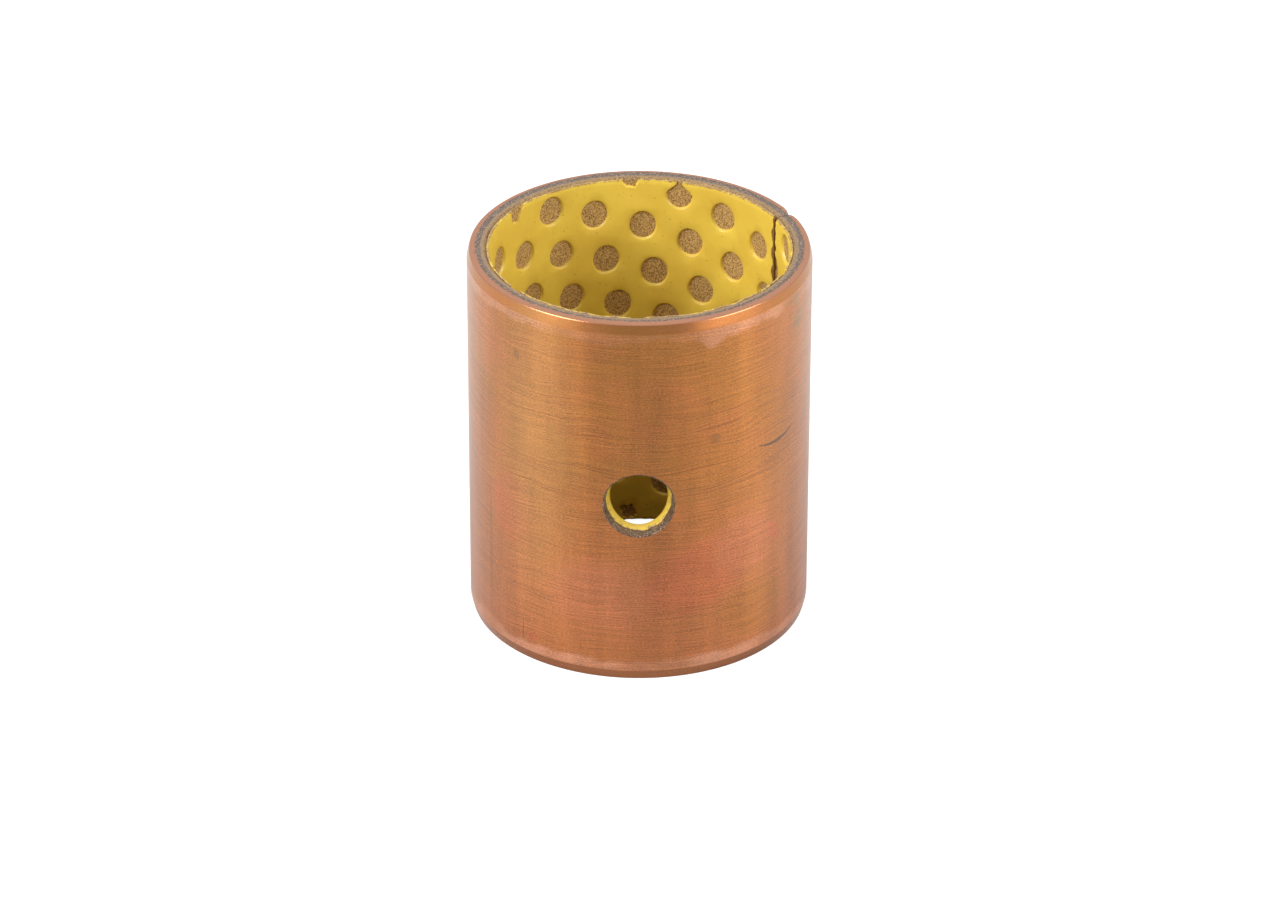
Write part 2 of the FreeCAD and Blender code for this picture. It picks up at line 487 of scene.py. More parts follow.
def copperMaterial():
    material, tree, shader = newMaterial("copperPlatedSteel")
    strip, solid = stripPlace(tree), objectPlace(tree)
    along, height = split(strip)[:2]
    x, y = split(solid)[:2]
    radius = calc("SQRT", timesPlus(x, x, times(y, y)))
    fromMiddle = fromMiddleHeight(height)

    # Plating: golden above, pinker below, in soft clouds drawn out along the strip
    clouds = noiseAlong(strip, 0.10, 0.16, 5.0, 0.6, 0.4)
    fine = noiseAlong(strip, 0.55, 0.9, 6.0, 0.7)
    low = stepped(timesPlus(clouds, 26.0, height), 38.0, 20.0)
    base = blended(stepped(clouds, 0.38, 0.62), copper["golden"], copper["orange"])
    base = blended(times(low, 0.5), base, copper["pink"])
    base = spotted(base, fine, 0.52, 0.72, 0.25, copper["red"])
    ragged = swingOf(noiseAt(strip, 1.1, 4.0, 0.65))
    # Stains, with one painted highlight and one painted shade among them
    for softMark in stainsAndPaintedLight:
        base = blended(softMarkMask(strip, softMark, ragged), base, copper[softMark["tone"]])

    # Pale pink plating shows in waves beside the lead-ins
    wave = swingOf(noiseAlong(strip, 0.22, 0.05, 3.0))
    patchy = stepped(noiseAlong(strip, 0.16, 0.01, 1.0), 0.42, 0.58)
    for plan in blushBands:
        reach = times(minus(height, plan["edge"]), plan["way"])
        beside = timesPlus(wave, plan["swing"], reach)
        band = times(stepped(reach, -0.1, 0.1), stepped(beside, 1.4, 0.7))
        band = times(band, timesPlus(patchy, plan["more"], plan["least"]))
        base = blended(band, base, copper["blush"])
    # The lower lead-in is painted darker: painted shade of the facet that faces down towards the floor
    base = spotted(base, height, ring["leadIn"] + 0.1, ring["leadIn"] - 0.1, 0.3, copper["dark"])

    # Brush lines run round the ring, strongest at mid-height and none on the smooth lead-ins
    leadInStart = ringLength / 2 - ring["leadIn"]
    facet = stepped(fromMiddle, leadInStart - 0.1, leadInStart + 0.1)
    bow = noiseAlong(strip, 0.07, 0.12, 2.0)
    bowed = joined(along, timesPlus(bow, 3.0, height), 0.0)
    brush = noiseAlong(bowed, 0.14, 11.0, 4.0, 0.85)
    hairs = noiseAlong(bowed, 0.06, 5.6, 4.0, 0.75)
    middle = times(stepped(height, 14.0, 23.0), stepped(height, 37.0, 27.0))
    lines = times(stepped(hairs, 0.54, 0.62), timesPlus(middle, 0.5, 0.2))
    brushed = minus(1.0, times(facet, 0.8))
    base = blended(times(lines, brushed), base, copper["brushed"])
    mottle = noiseAlong(bowed, 4.5, 8.0, 3.0, 0.85)
    drawn = noiseAlong(strip, 0.30, 0.035, 4.0, 0.6)
    contrast = zip((brush, mottle, drawn), copper["contrasts"])
    shade = summed(1.0, *((swingOf(look), share) for look, share in contrast))
    base = blended(brushed, base, joined(shade, shade, shade), "MULTIPLY")
    specks = noiseAt(strip, 5.5, 2.0, 0.5)
    base = spotted(base, specks, 0.69, 0.74, 0.55, copper["dark"])
    glints = noiseAt(strip, 7.0, 1.0, 0.5)
    base = spotted(base, glints, 0.72, 0.75, 0.5, copper["blush"])

    # The long scratch
    beside = minus(along, scratch["along"])
    line = timesPlus(beside, scratch["bend"], scratch["lean"])
    line = timesPlus(line, beside, scratch["height"])
    away = calc("ABSOLUTE", minus(timesPlus(ragged, 0.25, height), line))
    ends = minus(1.0, calc("DIVIDE", calc("ABSOLUTE", beside), scratch["reach"]))
    width = times(calc("SQRT", calc("MAXIMUM", ends, 0.0)), 2 * scratch["width"])
    groove = calc("LESS_THAN", away, width)
    base = blended(times(groove, 0.9), base, copper["dark"])

    # End faces: copper outside, dusted with bronze inside, bare steel between
    onEnd = stepped(fromMiddle, ringLength / 2 - 0.2, ringLength / 2 - 0.08)
    speckle = noiseAt(solid, 2.2, 4.0, 0.7)
    loose = timesPlus(swingOf(speckle), 0.9, radius)
    edge = timesPlus(calc("DIVIDE", y, radius), copper["rimTurn"], copper["rimEdge"])
    beyond = minus(loose, edge)
    base = blended(times(onEnd, 0.8), base, copper["rim"])
    flecks = noiseAt(solid, 4.4, 4.0, 0.8)
    blots = noiseAt(solid, 2.4, 4.0, 0.7)
    pits = noiseAt(solid, 5.3, 3.0, 0.7)
    bare = spotted(copper["steel"], blots, 0.48, 0.6, 0.8, copper["steelBrown"])
    bare = spotted(bare, flecks, 0.54, 0.60, 1.0, copper["steelFleck"])
    bare = spotted(bare, pits, 0.49, 0.56, 0.85, copper["pit"])
    dust = times(stepped(loose, copper["dustEdge"] + 0.12, copper["dustEdge"] - 0.12), onEnd)
    bare = blended(times(dust, stepped(flecks, 0.38, 0.5)), bare, copper["bronzeDust"])
    outside = stepped(timesPlus(swingOf(speckle), 0.9, markAt(tree, "plating")), 0.42, 0.58)
    endPlated = minus(1.0, times(onEnd, stepped(beyond, 0.08, -0.08)))
    plated = times(outside, endPlated)

    bareShare = minus(1.0, plated)
    dull = summed(copper["roughness"] - 0.08, (fine, 0.16), (bareShare, 0.24), (facet, -0.08))
    tangent = makeNode(tree, "ShaderNodeTangent", direction_type="UV_MAP", uv_map="strip")
    relief = times(timesPlus(brush, 0.7, times(lines, -0.8)), brushed)
    relief = summed(relief, (groove, -1.5), (bareShare, times(flecks, 3.0)))
    wire(tree, shader, copperFinish)
    wire(tree, shader, {
        "Base Color": blended(plated, bare, base),
        "Metallic": timesPlus(bareShare, -0.5, 1.0),
        "Roughness": dull,
        "Tangent": tangent.outputs[0],
        "Normal": bumped(relief, 0.4, 0.02 * mm),
    })
    return material


bronze = {
    "light": (0.67, 0.445, 0.175),
    "middle": (0.48, 0.29, 0.095),
    "dark": (0.15, 0.082, 0.026),
    "edgeTone": (0.62, 0.60, 0.66),  # what is left of the tone on the ends
    "roughness": 0.5,
    "metallic": 0.25,
}


def bronzeMaterial():
    material, tree, shader = newMaterial("sinteredBronze")
    solid = objectPlace(tree)
    coarse = noiseAt(solid, 5.2, 3.0, 0.7)
    grains = noiseAt(solid, 10.5, 2.0, 0.6)
    both = timesPlus(grains, 0.6, times(coarse, 0.4))
    tone = spotted(bronze["dark"], both, 0.42, 0.50, 1.0, bronze["middle"])
    tone = spotted(tone, both, 0.50, 0.58, 1.0, bronze["light"])
    fromMiddle = fromMiddleHeight(split(solid)[2])
    dull = stepped(fromMiddle, ringLength / 2 - 0.45, ringLength / 2 - 0.2)
    tone = blended(dull, tone, bronze["edgeTone"], "MULTIPLY")
    wire(tree, shader, {
        "Base Color": tone,
        "Metallic": bronze["metallic"],
        "Roughness": timesPlus(grains, 0.2, bronze["roughness"]),
        "Normal": bumped(both, 0.8, 0.05 * mm),
    })
    return material


polymer = {
    "yellow": (0.72, 0.52, 0.07),
    "deep": (0.67, 0.46, 0.06),
    "pale": (0.78, 0.56, 0.12),
    "speck": (0.22, 0.13, 0.035),
    "dust": (0.42, 0.27, 0.12),
    "grit": (0.22, 0.125, 0.05),
    "gapShade": (0.17, 0.085, 0.025),
    "roughness": 0.36,
    "ior": 1.48,
}


def polymerMaterial():
    material, tree, shader = newMaterial("yellowPolymer")
    solid = objectPlace(tree)
    clouds = noiseAt(solid, 0.22, 4.0)
    tone = spotted(polymer["deep"], clouds, 0.35, 0.65, 1.0, polymer["yellow"])
    fromMiddle = fromMiddleHeight(split(solid)[2])
    # Paler along one edge of the joint, a painted highlight, and on the oil hole's lip
    edgeTone = stepped(markAt(tree, "edge"), 0.35, 1.0)
    rough = noiseAt(solid, 5.0, 3.0, 0.7)
    tone = blended(times(edgeTone, stepped(rough, 0.4, 0.6)), tone, polymer["pale"])
    specks = noiseAt(solid, 4.0, 1.0, 0.4)
    tone = spotted(tone, specks, 0.74, 0.78, 0.8, polymer["speck"])
    # Bronze dust on the ends and in the oil hole, painted shade of the joint's gap on one side of the joint
    crumbs = noiseAt(solid, 2.6, 5.0, 0.75)
    reach = timesPlus(crumbs, 0.9, minus(fromMiddle, ringLength / 2 + 0.22))
    onCollar = stepped(timesPlus(crumbs, 0.8, markAt(tree, "dust")), 0.85, 1.05)
    dusty = calc("MAXIMUM", stepped(reach, -0.02, 0.14), onCollar)
    grains = noiseAt(solid, 6.0, 3.0, 0.7)
    dust = spotted(polymer["grit"], grains, 0.42, 0.58, 1.0, polymer["dust"])
    tone = blended(dusty, tone, dust)
    # Painted shade of the joint's gap, darkening the lining beside the strip's near end
    gapShaded = timesPlus(crumbs, 0.9, markAt(tree, "gapShade"))
    tone = spotted(tone, gapShaded, 0.85, 0.95, 1.0, polymer["gapShade"])
    slack = timesPlus(noiseAt(solid, 0.9, 3.0), 1.6, times(rough, 0.12))
    wire(tree, shader, {
        "Base Color": tone,
        "Roughness": timesPlus(rough, 0.14, polymer["roughness"] - 0.07),
        "IOR": polymer["ior"],
        "Normal": bumped(slack, 0.3, 0.03 * mm),
    })
    return material


# Sheets of the flat strip

# Of some triangles, the most that hang together by their sides, or by those that meet in one corner
def largestPatch(chosen, triangles, beside, corner=None):
    left, largest = set(chosen), []
    while left:
        patch = [left.pop()]
        for k in patch:
            face = triangles[k]
            for side in range(3):
                ends = (face[side], face[(side + 1) % 3])
                if corner is None or corner in ends:
                    for other in beside[frozenset(ends)]:
                        if other in left:
                            left.remove(other)
                            patch.append(other)
        if len(patch) > len(largest):
            largest = patch
    return sorted(largest)


# One sheet without loose flakes and without places that hang together by a corner only
def onePatch(triangles):
    while True:
        beside = {}
        for k, face in enumerate(triangles):
            for side in range(3):
                beside.setdefault(frozenset((face[side], face[(side + 1) % 3])), []).append(k)
        patch = largestPatch(range(len(triangles)), triangles, beside)
        fans = {}
        for k in patch:
            for corner in triangles[k]:
                fans.setdefault(corner, []).append(k)
        loose = set()
        for corner, fan in fans.items():
            loose |= set(fan) - set(largestPatch(fan, triangles, beside, corner))
        triangles = [triangles[k] for k in patch if k not in loose]
        if not loose:
            return triangles


# Cuts a sheet into triangles along its outline, loops and rows. kept says if a place is inside.
def cutSheet(outline, loops, rows, spots, kept):
    points, lines = [], []
    for loop in [outline] + loops:
        first = len(points)
        points += loop
        lines += [(first + k, first + (k + 1) % len(loop)) for k in range(len(loop))]
    for row in rows:
        first = len(points)
        points += row
        lines += [(first + k, first + k + 1) for k in range(len(row) - 1)]
    points += spots
    found = delaunay_2d_cdt([Vector(point) for point in points], lines, [], 0, 1e-5)
    places = [(point.x, point.y) for point in found[0]]
    triangles = []
    for face in found[2]:
        a, b, c = (places[k] for k in face)
        centre = ((a[0] + b[0] + c[0]) / 3, (a[1] + b[1] + c[1]) / 3)
        if kept(*centre):
            turn = (b[0] - a[0]) * (c[1] - a[1]) - (b[1] - a[1]) * (c[0] - a[0])
            triangles.append(tuple(face) if turn > 0 else tuple(reversed(face)))
    triangles = onePatch(triangles)
    used = sorted({k for face in triangles for k in face})
    renumbered = {old: new for new, old in enumerate(used)}
    return [places[k] for k in used], [tuple(renumbered[k] for k in face) for face in triangles]


# The outline of a sheet and a test for its inside
def sheetOutline(left, right, low, high, acrossStep, alongStep):
    heights = spaced(low(0), high(0), acrossStep)
    alongs = spaced(left(0), right(0), alongStep)
    leftAt, rightAt = sideLine(heights, left), sideLine(heights, right)
    lowAt, highAt = sideLine(alongs, low), sideLine(alongs, high)
    outline = [(u, lowAt(u)) for u in alongs[1:-1]]
    outline += [(rightAt(heights[0]), lowAt(alongs[-1]))] + [(rightAt(v), v) for v in heights[1:-1]]
    outline += [(rightAt(heights[-1]), highAt(alongs[-1]))] + [(u, highAt(u)) for u in reversed(alongs[1:-1])]
    outline += [(leftAt(heights[-1]), highAt(alongs[0]))] + [(leftAt(v), v) for v in reversed(heights[1:-1])]
    outline += [(leftAt(heights[0]), lowAt(alongs[0]))]

    def inside(u, v, margin=0.0):
        return leftAt(v) + margin < u < rightAt(v) - margin and lowAt(u) + margin < v < highAt(u) - margin

    return outline, inside


def ovalLoop(centre, halfWide, halfTall, sides):
    turns = [2 * math.pi * k / sides for k in range(sides)]
    return [(centre[0] + halfWide * math.cos(turn), centre[1] + halfTall * math.sin(turn)) for turn in turns]


# How far out a place lies from the oil hole's middle, 1 on its wall
def holeScale(u, v, inset=0.0):
    wide, tall = oilHole["halfWidth"] - inset, oilHole["halfTall"] - inset
    return math.hypot((u - oilHole["along"]) / wide, (v - oilHole["height"]) / tall)


def liningHoleScale(u, v):
    return holeScale(u, v, oilHole["overhang"])


def holeLoop(scale, inset=0.0):
    wide, tall = oilHole["halfWidth"] - inset, oilHole["halfTall"] - inset
    return ovalLoop((oilHole["along"], oilHole["height"]), scale * wide, scale * tall, oilHole["sides"])


# Places in a triangular pattern over the whole strip
def webSpots(step, kept):
    spots = []
    triangleHeight = 0.87 * step
    for k, v in enumerate(spaced(0, ringLength, triangleHeight)):
        spots += [(u + step * 0.5 * (k % 2), v) for u in spaced(0, stripLength, step)]
    return [spot for spot in spots if kept(*spot)]


# Closes two skins of one sheet into a solid. Each wall point goes from the inner to the outer skin.
def layerMesh(name, sheet, innerSkin, outerSkin, wallShares, wallPoint, marks):
    points, triangles = sheet
    count = len(points)
    places = [innerSkin(*point) for point in points] + [outerSkin(*point) for point in points]
    source = list(range(count)) * 2
    share = [0.0] * count + [1.0] * count
    faces = [tuple(reversed(face)) for face in triangles]
    faces += [tuple(k + count for k in face) for face in triangles]
    edges = {(face[k], face[(k + 1) % 3]) for face in triangles for k in range(3)}
    rim = sorted((a, b) for a, b in edges if (b, a) not in edges)
    columns = {}
    for a in sorted({k for edge in rim for k in edge}):
        columns[a] = [a]
        for part in wallShares:
            columns[a].append(len(places))
            places.append(wallPoint(points[a], places[a], places[a + count], part))
            source.append(a)
            share.append(part)
        columns[a].append(a + count)
    for a, b in rim:
        for k in range(len(wallShares) + 1):
            faces.append((columns[a][k], columns[b][k], columns[b][k + 1], columns[a][k + 1]))

    mesh = bpy.data.meshes.new(name)
    mesh.from_pydata([tuple(value * mm for value in place) for place in places], [], faces)
    strip = mesh.uv_layers.new(name="strip")
    for loop in mesh.loops:
        u, v = points[source[loop.vertex_index]]
        strip.data[loop.index].uv = (u / mapUnit, v / mapUnit)
    for label, mark in marks.items():
        values = mesh.attributes.new(label, "FLOAT", "POINT").data
        for k, value in enumerate(values):
            value.value = mark(*points[source[k]], share[k])
    return mesh


rollTree = rollStripTree()
sharpAngle = math.radians(40)


# Rolls a layer into the ring, makes it a piece and puts it in the place of its CAD node
def finishLayer(name, mesh, node, material, grain=(0.0, 1.0)):
    mesh = grown(name, mesh, rollTree, {
        "Bore Radius": ring["boreRadius"] * mm,
        "Joint Angle": ring["jointAngle"],
        "Grain Height": grain[0] * mm,
        "Grain Size": grain[1] * mm,
        "Grain Seed": 3.0,
        "Material": material,
    })
    work = bmesh.new()
    work.from_mesh(mesh)
    for face in work.faces:
        face.smooth = True
    for edge in work.edges:
        edge.smooth = len(edge.link_faces) == 2 and edge.calc_face_angle() < sharpAngle
    openEdges = sum(1 for edge in work.edges if len(edge.link_faces) != 2)
    volume = work.calc_volume(signed=True)
    work.to_mesh(mesh)
    work.free()
    piece = addObject(name, mesh)
    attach(piece, "root")
    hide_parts(node)
    triangles = sum(len(face.vertices) - 2 for face in mesh.polygons)
    print(name, "triangles", triangles, "open edges", openEdges, "volume", round(volume / mm ** 3, 1))


# Indent outlines, read from the grid tree

def indentOvals():
    mesh = grown("indentOvals", bpy.data.meshes.new("indentSeed"), indentGridTree(), indents)
    sides = indents["Sides"]
    ovals = []
    for first in range(0, len(mesh.vertices), sides):
        loop = [(vertex.co.x, vertex.co.y) for vertex in mesh.vertices[first:first + sides]]
        centre = (sum(u for u, v in loop) / sides, sum(v for u, v in loop) / sides)
        ovals.append({"centre": centre, "loop": loop})
    bpy.data.meshes.remove(mesh)
    return ovals


# Room from an indent's middle to the end face that makes it a drop, a blot or nothing
rimSqueeze = {
    "dropRoom": 1.95,
    "neck": 0.79,  # share of the width that the drop loses at its neck
    "blotRoom": 1.3,
    "blotSize": 0.6,
    "blotRagged": 0.3,
    "leastRoom": -0.4,
}


# Near an end an indent is squeezed: to a drop with a neck that opens on the rim, then to a small
# ragged blot, and past the end to nothing
def squeezeAtRim(oval):
    centreU, centreV = oval["centre"]
    halfWide, halfTall = indents["Width"] / 2, indents["Tallness"] / 2
    end, way = (ringLength, 1) if centreV > ringLength / 2 else (0, -1)
    room = (end - centreV) * way
    squeezed = []
    for u, v in oval["loop"]:
        beside, up = u - centreU, (v - centreV) * way
        if room < rimSqueeze["blotRoom"]:
            size = rimSqueeze["blotSize"] * (1 + rimSqueeze["blotRagged"] * uneven(u, v, 0.7, 17))
            squeezed.append((centreU + beside * size, centreV + up * size * way))
        elif room < rimSqueeze["dropRoom"] and up > 0 and abs(beside) > 0.05:
            width = halfWide * (1 - rimSqueeze["neck"] * smooth(up / halfTall / 0.8))
            squeezed.append((centreU + math.copysign(width, beside), v))
        else:
            squeezed.append((u, v))
    oval["loop"] = squeezed
    onStrip = 0 < centreU < stripLength
    return room > rimSqueeze["blotRoom"] or (room > rimSqueeze["leastRoom"] and onStrip)


# Turn and distance of a place seen from an oval's middle, 1 on a plain oval's edge
def fromMiddleOf(oval, u, v):
    x = (u - oval["centre"][0]) / (indents["Width"] / 2)
    y = (v - oval["centre"][1]) / (indents["Tallness"] / 2)
    return math.atan2(y, x) % (2 * math.pi), math.hypot(x, y)


# Radius of the uneven oval, in steps of its turn
def measureOval(oval):
    polar = sorted(fromMiddleOf(oval, u, v) for u, v in oval["loop"])
    polar = [(polar[-1][0] - 2 * math.pi, polar[-1][1])] + polar + [(polar[0][0] + 2 * math.pi, polar[0][1])]
    oval["turns"] = [turn for turn, radius in polar]
    oval["radii"] = [radius for turn, radius in polar]


def ovalScale(oval, u, v):
    turn, distance = fromMiddleOf(oval, u, v)
    return distance / readOff(oval["turns"], oval["radii"], turn)


ovals = [oval for oval in indentOvals() if squeezeAtRim(oval)]
for oval in ovals:
    measureOval(oval)
cellSize = 6.0
ovalReach = 2.6
farScale = 9.0  # where no indent is near
cells = {}
for oval in ovals:
    column, row = (math.floor(value / cellSize) for value in oval["centre"])
    for i in (-1, 0, 1):
        for j in (-1, 0, 1):
            cells.setdefault((column + i, row + j), []).append(oval)
print("indents", len(ovals))


# Distance to the nearest indent, 1 on the edge of its floor
def indentScale(u, v):
    nearest = farScale
    for oval in cells.get((math.floor(u / cellSize), math.floor(v / cellSize)), []):
        if max(abs(u - oval["centre"][0]), abs(v - oval["centre"][1])) < ovalReach:
            nearest = min(nearest, ovalScale(oval, u, v))
    return nearest


def ovalLoops(scales):
    loops = []
    for oval in ovals:
        centreU, centreV = oval["centre"]
        for scale in scales:
            loops.append([(between(centreU, u, scale), between(centreV, v, scale)) for u, v in oval["loop"]])
    return loops


def fromEnd(v):
    return min(v, ringLength - v)


# A test for places that keep away from the outline, the ends, the oil hole and the indents' edges
def clearOf(inside, room):
    low, high = room["indents"]

    def free(u, v):
        return (inside(u, v, room["outline"]) and fromEnd(v) > room["end"]
                and low < indentScale(u, v) < high and holeScale(u, v, room["inset"]) > room["hole"])

    return free


# A skin at one depth
def flatSkin(depth):
    return lambda u, v: (u, v, depth)


def straightWall(point, inner, outer, share):
    return tuple(between(a, b, share) for a, b in zip(inner, outer))


metalCut = {"ragged": 0.02, "size": 0.6, "step": 0.5}


# A cut end of the bronze and steel, and the end faces
def jointSide(side):
    def at(v):
        inset = ring["jointGap"] / 2 + metalCut["ragged"] * uneven(0, v, metalCut["size"], 20 + side)
        return inset if side == 1 else stripLength - inset
    return at


def endSide(side):
    return lambda u: 0.0 if side == 1 else ringLength


def metalOutline():
    step = metalCut["step"]
    outline, inside = sheetOutline(jointSide(1), jointSide(2), endSide(1), endSide(2), step, step)

    def kept(u, v):
        return inside(u, v) and holeScale(u, v) > 1

    return outline, inside, kept


def rowsAt(offsets, alongStep):
    rows = []
    for offset in offsets:
        for v in (offset, ringLength - offset):
            rows.append([(u, v) for u in spaced(-0.5, stripLength + 0.5, alongStep)])
    return rows


# Lining

lining = {
    "gap": 0.3,
    "fray": 0.06,
    "chip": 0.22,
    "rimEdge": 0.12,  # below the end face
    "rimFray": 0.06,
    "lipScales": (1.0, 1.04, 1.09, 1.15),
    "bead": 0.012,  # raised lip round an indent
    "endSlope": 0.06,
    "notch": {"height": 34.65, "reach": 1.15, "depth": 0.5},  # chipped out beside the joint
    "floor": 0.245,
    "webStep": 1.2,
    "web": {"outline": 0.2, "end": 0.75, "hole": 1.17, "inset": oilHole["overhang"], "indents": (1.27, 10.0)},
    "rows": (0.42, 0.5, 0.58, 0.7),  # from an end
    "rowStep": 0.6,
    "cutSteps": (0.22, 0.45),  # of the outline, along the joint and along the ends
    "endRound": 0.45,
    "holeScales": (1.0, 1.025, 1.06, 1.12),
    "holeRound": 0.09,
    "collar": 0.85,  # smeared along the oil hole's wall
    "collarStart": 0.22,  # its first depth
    "collarRagged": 0.35,
    "brightEdge": (0.40, 0.2),  # a painted highlight at the strip's far end: its reach, and how soon it fades
    "gapShadeEdge": (0.5, 0.3),  # painted shade of the joint's gap, at the strip's near end
    "brightLip": 0.6,  # of the oil hole
}
# The lining's wall from the bore to the bronze. In the oil hole each step reaches along the collar,
# lies further out than the lip and is dusty.
collarSteps = {
    0.25: {"reach": 0.0, "out": -0.03, "dust": 0.1},
    0.5: {"reach": 0.6, "out": 0.05, "dust": 0.46},
    0.75: {"reach": 1.0, "out": oilHole["overhang"] + 0.02, "dust": 0.54},
}


def liningJoint(side):
    def at(v):
        fray = lining["fray"] * (uneven(0, v, 0.45, side) + 0.6 * uneven(0, v, 0.16, side + 4))
        chip = lining["chip"] * smooth((uneven(0, v, 1.7, side + 8) - 0.35) / 0.4)
        inset = lining["gap"] / 2 + fray + chip * (1.0 if side == 2 else 0.3)
        if side == 2:
            notch = lining["notch"]
            inset += notch["depth"] * math.sqrt(max(0.0, 1 - ((v - notch["height"]) / notch["reach"]) ** 2))
        inset = max(0.03, inset)
        return inset if side == 1 else stripLength - inset
    return at


def liningRim(side):
    def at(u):
        fray = uneven(u, 0, 1.3, side) + 0.7 * uneven(u, 0, 0.5, side + 5)
        edge = lining["rimEdge"] + lining["rimFray"] * fray
        return edge if side == 1 else ringLength - edge
    return at


def liningInner(u, v):
    lip = (indentScale(u, v) - 1) / (lining["lipScales"][-1] - 1)
    depth = 0.0
    if lip < 1:
        bead = lining["bead"] * smooth(2 * lip) * smooth(2 - 2 * lip)
        depth = lining["floor"] * (1 - smooth(lip * 1.15)) - bead
    rounding = (liningHoleScale(u, v) - 1) / (lining["holeScales"][-1] - 1)
    if rounding < 1:
        depth = max(depth, lining["holeRound"] * (1 - max(0.0, rounding)) ** 2)
    past = (fromEnd(v) - lining["rimEdge"]) / lining["endRound"]
    depth = max(depth, lining["endSlope"] * (1 - smooth(past)))
    return u, v, min(depth, lining["floor"])


def inCollar(u, v):
    return liningHoleScale(u, v) < 1.01


# In the oil hole the lining is smeared outwards over the bronze and part of the steel
def liningWall(point, inner, outer, share):
    u, v = point
    if not inCollar(u, v):
        return straightWall(point, inner, outer, share)
    smear = lining["collar"] * (1 + lining["collarRagged"] * uneven(u, v, 0.9, 6))
    step = collarSteps[share]
    du, dv = u - oilHole["along"], v - oilHole["height"]
    out = step["out"] / math.hypot(du, dv)
    return u + du * out, v + dv * out, lining["collarStart"] + smear * step["reach"]


# One edge at the joint is paler, a painted highlight; the oil hole's lip is paler too; the other edge gets
# painted shade of the joint's gap
def liningEdge(u, v, share):
    reach, fade = lining["brightEdge"]
    joint = smooth((reach - (stripLength - u)) / fade)
    smeared = lining["brightLip"] if 0 < share < 1 and inCollar(u, v) else 0.0
    return max(joint, smeared)


def noGrain(u, v, share):
    return 0.0


# Share of the painted shade of the joint's gap, strongest at the strip's near end
def liningGapShade(u, v, share):
    reach, fade = lining["gapShadeEdge"]
    return smooth((reach - u) / fade)


def liningDust(u, v, share):
    return collarSteps[share]["dust"] if 0 < share < 1 and inCollar(u, v) else 0.0


def buildLining():
    sides = [liningJoint(1), liningJoint(2), liningRim(1), liningRim(2)]
    outline, inside = sheetOutline(*sides, *lining["cutSteps"])

    def kept(u, v):
        return inside(u, v) and indentScale(u, v) > 1 and liningHoleScale(u, v) > 1

    loops = ovalLoops(lining["lipScales"])
    loops += [holeLoop(scale, oilHole["overhang"]) for scale in lining["holeScales"]]
    rows = rowsAt(lining["rows"], lining["rowStep"])
    spots = webSpots(lining["webStep"], clearOf(inside, lining["web"]))
    sheet = cutSheet(outline, loops, rows, spots, kept)
    marks = {"edge": liningEdge, "gapShade": liningGapShade, "dust": liningDust, "grain": noGrain}
    back = flatSkin(ring["liningBack"])
    mesh = layerMesh("polymerLining", sheet, liningInner, back, collarSteps, liningWall, marks)
    finishLayer("polymerLining", mesh, "polymer_lining", polymerMaterial())


# Bronze

bronzePlan = {
    "floorScale": 1.05,
    "webStep": 1.6,
    "web": {"outline": 0.25, "end": 0.5, "hole": 1.1, "inset": 0, "indents": (1.2, 10.0)},
    "grainStep": 0.42,
    "floor": {"outline": 0.1, "end": 0.35, "hole": 1.05, "inset": 0, "indents": (-1.0, 0.97)},
    "grainHeight": 0.12,
    "grainSize": 0.22,
    "chamferGrain": (0.3, 0.1, 0.6),  # up to this far from an end, how soon it fades, and its share
    "floorGrain": (1.04, 0.08),  # up to this scale of an indent, and how soon it fades
    "chamferRound": 0.03,
    "rows": (0.12, 0.22, 0.28),  # from an end
    "rowStep": 0.5,
    "holeScales": (1.0, 1.05),
}


def bronzeInner(u, v):
    chamfer = ring["boreChamfer"] - ring["liningBack"] - fromEnd(v)
    return u, v, ring["liningBack"] + softRamp(chamfer, bronzePlan["chamferRound"])


def bronzeGrain(u, v, share):
    if share > 0:
        return 0.0
    reach, fade, part = bronzePlan["chamferGrain"]
    chamfer = smooth((reach - fromEnd(v)) / fade) * part
    scale, fade = bronzePlan["floorGrain"]
    return max(chamfer, smooth((scale - indentScale(u, v)) / fade))


def buildBronze():
    outline, inside, kept = metalOutline()
    loops = ovalLoops((bronzePlan["floorScale"],)) + [holeLoop(scale) for scale in bronzePlan["holeScales"]]
    rows = rowsAt(bronzePlan["rows"], bronzePlan["rowStep"])
    spots = webSpots(bronzePlan["webStep"], clearOf(inside, bronzePlan["web"]))
    spots += webSpots(bronzePlan["grainStep"], clearOf(inside, bronzePlan["floor"]))
    sheet = cutSheet(outline, loops, rows, spots, kept)
    back = flatSkin(ring["bronzeBack"])
    mesh = layerMesh("bronzeLayer", sheet, bronzeInner, back, (0.5,), straightWall, {"grain": bronzeGrain})
    grain = (bronzePlan["grainHeight"], bronzePlan["grainSize"])
    finishLayer("bronzeLayer", mesh, "bronze_layer", bronzeMaterial(), grain)


# Steel backing

